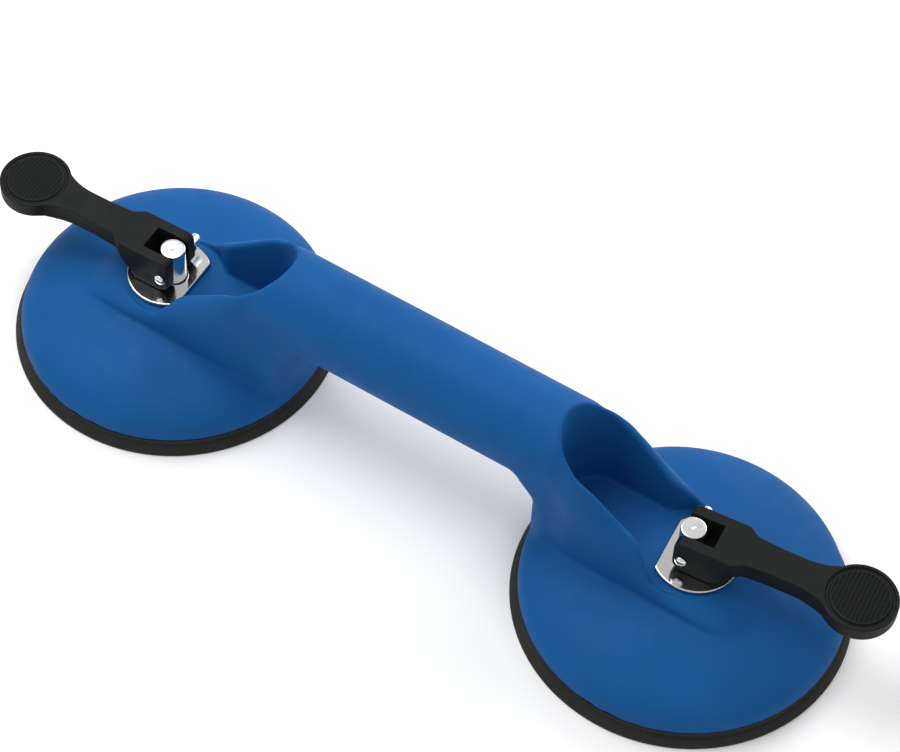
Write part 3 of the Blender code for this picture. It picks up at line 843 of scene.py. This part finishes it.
def lever_field(x, y, z):
    y = np.abs(y)
    from_thumb = np.hypot(x - THUMB_X, y)
    under = EDGE + UNDER_EDGE_MORE * ramp(x, *UNDER_EDGE_ALONG) * ramp(z, *UNDER_EDGE_DOWN)
    solid = meet(outline_distance(x, z, LEVER_SIDE), outline_distance(x, y, LEVER_PLAN), under)
    slot = np.maximum(outline_distance(x, z, SLOT_SIDE), y - SLOT_HALF)
    solid = meet(solid, -slot, EDGE)
    solid = meet(solid, PIN_R + GAP - np.hypot(x, z), BORE_EDGE)
    ribs = RIB_DEPTH * (0.5 - 0.5 * np.cos(math.tau * (x - THUMB_X) / RIB_PITCH))
    ribs = ribs * ramp(from_thumb, RIB_AREA_R, -RIB_FADE)
    groove = GROOVE_DEPTH * np.exp(-(((from_thumb - GROOVE_R) / GROOVE_HALF) ** 4))
    return meet(solid, z - ARM_TOP + ribs + groove, TOP_EDGE)


LEVER_SIDE = lever_side()
LEVER_PLAN = lever_plan()
SLOT_SIDE = slot_side()


def swivel_of(side):
    """The turn that points local X outward along the lever."""
    axis = HINGES[f"lever_{side}"]["axis"]
    return math.atan2(axis[0], -axis[1])


def build_levers():
    lines = (
        spaced((-4, 12, 0.42), (12, 23, 0.4), (23, 44, 0.8), (44, 48, 0.4), (48, 72.8, 0.24)),
        spaced((0, 13.2, 0.25)),
        spaced((-6.8, 7.6, 0.42), (7.6, 9.3, 0.2)),
    )
    points, quads = solid_from_field(lever_field, lines, "y", 0.12)
    for side in SIDES:
        at, turn = (cup_x(side), 0, PIN_Z), swivel_of(side)
        piece = piece_from(f"cam_lever_{side}", points, quads, FINISHES["black"], f"lever_{side}", at, turn)
        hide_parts(f"lever_{side}")


# ---- what each cup holds ----


def turned_piece(name, node, profile, finish, body, at, turn=0.0, segments=96, closed=False, far=0):
    points, faces = lathe(profile, segments, closed)
    if far:
        points = laid_across(points, far)
    piece = piece_from(name, points, faces, FINISHES[finish], body, at, turn)
    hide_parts(node)
    return piece


def plate_field(x, y, z):
    plan = meet(np.hypot(x - PLATE_SHIFT, y) - PLATE_R, -PLATE_CHORD - x, PLATE_CORNER)
    plan = np.maximum(plan, STUD_R + GAP - np.hypot(x, y))
    middle = (PLATE_LOW + PLATE_HIGH) / 2
    return meet(plan, slab(z - middle, (PLATE_HIGH - PLATE_LOW) / 2), PLATE_EDGE)


def build_plates():
    lines = (
        spaced((-8.6, 18, 0.4)),
        spaced((0, 15.4, 0.4)),
        spaced((PLATE_LOW - 0.2, PLATE_HIGH + 0.2, 0.16)),
    )
    points, quads = solid_from_field(plate_field, lines, "y", 0.08)
    for side in SIDES:
        at, turn = (cup_x(side), 0, 0), swivel_of(side)
        piece = piece_from(f"cam_plate_{side}", points, quads, FINISHES["plate"], f"pad_{side}", at, turn)
        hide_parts(f"wear_plate_{side}")


def collar(inner, outer, low, high, edge):
    """The closed profile of a flat ring with rounded edges."""
    return rounded([(inner, low), (outer, low), (outer, high), (inner, high)], edge, closed=True)


def build_stud_and_disc(side, at, body):
    boss = PAD_BOSS_TOP + GAP
    foot, shoulder = boss + STUD_FOOT_LIFT, boss + DISC_THICK + GAP
    stud = [(0, foot), (STUD_FOOT_R, foot), (STUD_FOOT_R, shoulder), (STUD_R, shoulder)]
    stud = rounded(stud + [(STUD_R, STUD_TOP), (STUD_R - STUD_FLAT_START, STUD_TOP)], STUD_EDGE)
    stud += [(radius, STUD_TOP) for radius in STUD_FLAT_RINGS]
    stud += [(radius, STUD_TOP - depth) for radius, depth in STUD_MARK]
    turned_piece(f"pull_stud_{side}", f"stud_{side}", stud, "chrome", body, at)
    disc = collar(STUD_FOOT_R + GAP, DISC_R, boss, boss + DISC_THICK, DISC_EDGE)
    name, node = f"load_disc_{side}", f"backing_disc_{side}"
    turned_piece(name, node, disc, "steel", body, at, closed=True)


def build_pin_and_clip(side, at, body, far):
    turn = swivel_of(side)
    pin = [(radius, -PIN_NEAR - rise) for radius, rise in PIN_DOME]
    pin += [(PIN_R, -PIN_NEAR), (PIN_R, PIN_FAR - PIN_TIP_START)]
    pin += [(PIN_R - inward, PIN_FAR - back) for inward, back in PIN_TIP]
    pin += [(0, PIN_FAR)]
    name, node = f"lever_pin_{side}", f"pivot_pin_{side}"
    turned_piece(name, node, pin, "chrome", body, at, turn, 48, far=far)
    low = FORK_HALF + GAP
    clip = collar(PIN_R + CLIP_GAP, CLIP_R, low, low + CLIP_THICK, CLIP_EDGE)
    name, node = f"clip_ring_{side}", f"pin_clip_{side}"
    turned_piece(name, node, clip, "steel", body, at, turn, 48, True, far)


def build_bush(side, at):
    high = CEILING - GAP - CORE_DROP
    low, inner, top = high - BUSH_FLANGE, STUD_R + GAP, SEAT_Z - BUSH_SINK
    profile = [(inner, low), (BUSH_FLANGE_R, low), (BUSH_FLANGE_R, high), (BUSH_R, high)]
    profile = rounded(profile + [(BUSH_R, top), (inner, top)], BUSH_EDGE, closed=True)
    name, node = f"bush_{side}", f"guide_bush_{side}"
    turned_piece(name, node, profile, "brass", "housing", at, closed=True)


def build_spring(side, at):
    low = PAD_BOSS_TOP + DISC_THICK + 2 * GAP + WIRE_R
    high = CEILING - 2 * GAP - CORE_DROP - BUSH_FLANGE - WIRE_R
    count = int(SPRING_TURNS * TURN_STEPS)
    path = []
    for i in range(count + 1):
        angle = math.tau * SPRING_TURNS * i / count
        path.append((SPRING_R * math.cos(angle), SPRING_R * math.sin(angle), low + (high - low) * i / count))
    points, faces = swept(path, WIRE_R, WIRE_SIDES)
    points = np.asarray(points) + np.array(at)
    piece = piece_from(f"coil_spring_{side}", points, faces, FINISHES["steel"], None)
    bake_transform(piece)
    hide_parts(f"return_spring_{side}")


def build_pad(side, at):
    """The sealing ring stays on the work. The middle is attached to no body and stays where it is made."""
    inner_rim = RIM_R - RIM_WALL
    ring = [(PAD_SEAL_R, 0), (PAD_R, 0), (PAD_R, PAD_LIP_EDGE), (PAD_NECK_R + PAD_LIP_EDGE, PAD_LIP_TOP)]
    ring += [(PAD_NECK_R, PAD_LIP_TOP + 0.3), (PAD_NECK_R, PAD_BAND_TOP), (inner_rim - 0.8, PAD_BAND_TOP)]
    ring += [(inner_rim - 2.0, PAD_SHOULDER), (PAD_SEAL_R, PAD_SHOULDER)]
    ring = rounded(ring, PAD_EDGE, PAD_EDGE_STEPS, closed=True)
    body = f"pad_{side}"
    name, node = f"seal_ring_{side}", f"rubber_pad_{side}"
    turned_piece(name, node, ring, "rubber", body, at, segments=PAD_SEGMENTS, closed=True)
    seam = PAD_SEAL_R - PAD_SEAM
    middle = [(0, PAD_RECESS), (PAD_RECESS_R - 4, PAD_RECESS), (PAD_RECESS_R + 2, PAD_RECESS - 1.2)]
    middle += [(PAD_SEAL_R - 1.5, PAD_EDGE), (seam, PAD_SEAM), (seam, PAD_SHOULDER)]
    middle += [(DISC_R + 6, PAD_BOSS_TOP - 1.0), (DISC_R + 3, PAD_BOSS_TOP), (0, PAD_BOSS_TOP)]
    points, faces = lathe(rounded(middle, PAD_MIDDLE_EDGE, PAD_EDGE_STEPS), PAD_SEGMENTS)
    points = np.asarray(points) + np.array(at)
    piece = piece_from(f"pad_middle_{side}", points, faces, FINISHES["rubber"], None)
    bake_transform(piece)
    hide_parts(node)


# ---- the studio ----


def build_floor():
    line = [FLOOR_HALF * (2 * i / FLOOR_STEPS - 1) for i in range(FLOOR_STEPS + 1)]
    points = [(x, y, 0) for y in line for x in line]
    row = len(line)
    corners = [i + j * row for j in range(FLOOR_STEPS) for i in range(FLOOR_STEPS)]
    faces = [(k, k + 1, k + 1 + row, k + row) for k in corners]
    piece_from("studio_floor", points, faces, FINISHES["floor"], None, (0, 0, FLOOR_DROP))


def build_light(name, place, size, power):
    lamp = bpy.data.lights.new(name, "AREA")
    lamp.shape = "DISK"
    lamp.size = size * MM
    lamp.energy = power
    holder = bpy.data.objects.new(name, lamp)
    bpy.context.scene.collection.objects.link(holder)
    holder.location = Vector(place) * MM
    aim = Vector(LIGHT_TARGET) - Vector(place)
    holder.rotation_euler = aim.to_track_quat("-Z", "Y").to_euler()


def build_world():
    world = bpy.data.worlds.new("studio")
    world.use_nodes = True
    back = world.node_tree.nodes["Background"]
    back.inputs["Color"].default_value = (1.0, 1.0, 1.0, 1.0)
    back.inputs["Strength"].default_value = WORLD_BRIGHTNESS
    bpy.context.scene.world = world


def build_camera():
    azimuth, elevation, roll = (math.radians(angle) for angle in CAMERA_ANGLES)
    flat = math.cos(elevation)
    back = Vector((math.sin(azimuth) * flat, -math.cos(azimuth) * flat, math.sin(elevation)))
    right = (-back).cross(Vector((0, 0, 1))).normalized()
    up = right.cross(-back)
    rolled = right * math.cos(roll) + up * math.sin(roll)
    over = up * math.cos(roll) - right * math.sin(roll)
    data = bpy.data.cameras.new("camera")
    data.lens = CAMERA_LENS
    data.sensor_fit = "HORIZONTAL"
    data.sensor_width = CAMERA_SENSOR
    data.clip_start, data.clip_end = CAMERA_CLIP
    camera = bpy.data.objects.new("camera", data)
    bpy.context.scene.collection.objects.link(camera)
    turn = Matrix((rolled, over, back)).transposed().to_4x4()
    camera.matrix_world = Matrix.Translation(Vector(CAMERA_TARGET) + back * CAMERA_DISTANCE) @ turn
    bpy.context.scene.camera = camera


def main():
    build_camera()
    build_housing()
    build_grip_cover()
    build_screws()
    build_levers()
    build_plates()
    for side in SIDES:
        at, body = (cup_x(side), 0, 0), f"plunger_{side}"
        build_stud_and_disc(side, at, body)
        build_pin_and_clip(side, (cup_x(side), 0, PIN_Z), body, 1 if side == "right" else -1)
        build_bush(side, at)
        build_spring(side, at)
        build_pad(side, at)
    build_floor()
    build_world()
    for name, place, size, power in LIGHTS:
        build_light(name, place, size, power)
    bpy.context.scene.view_settings.view_transform = "Standard"


main()
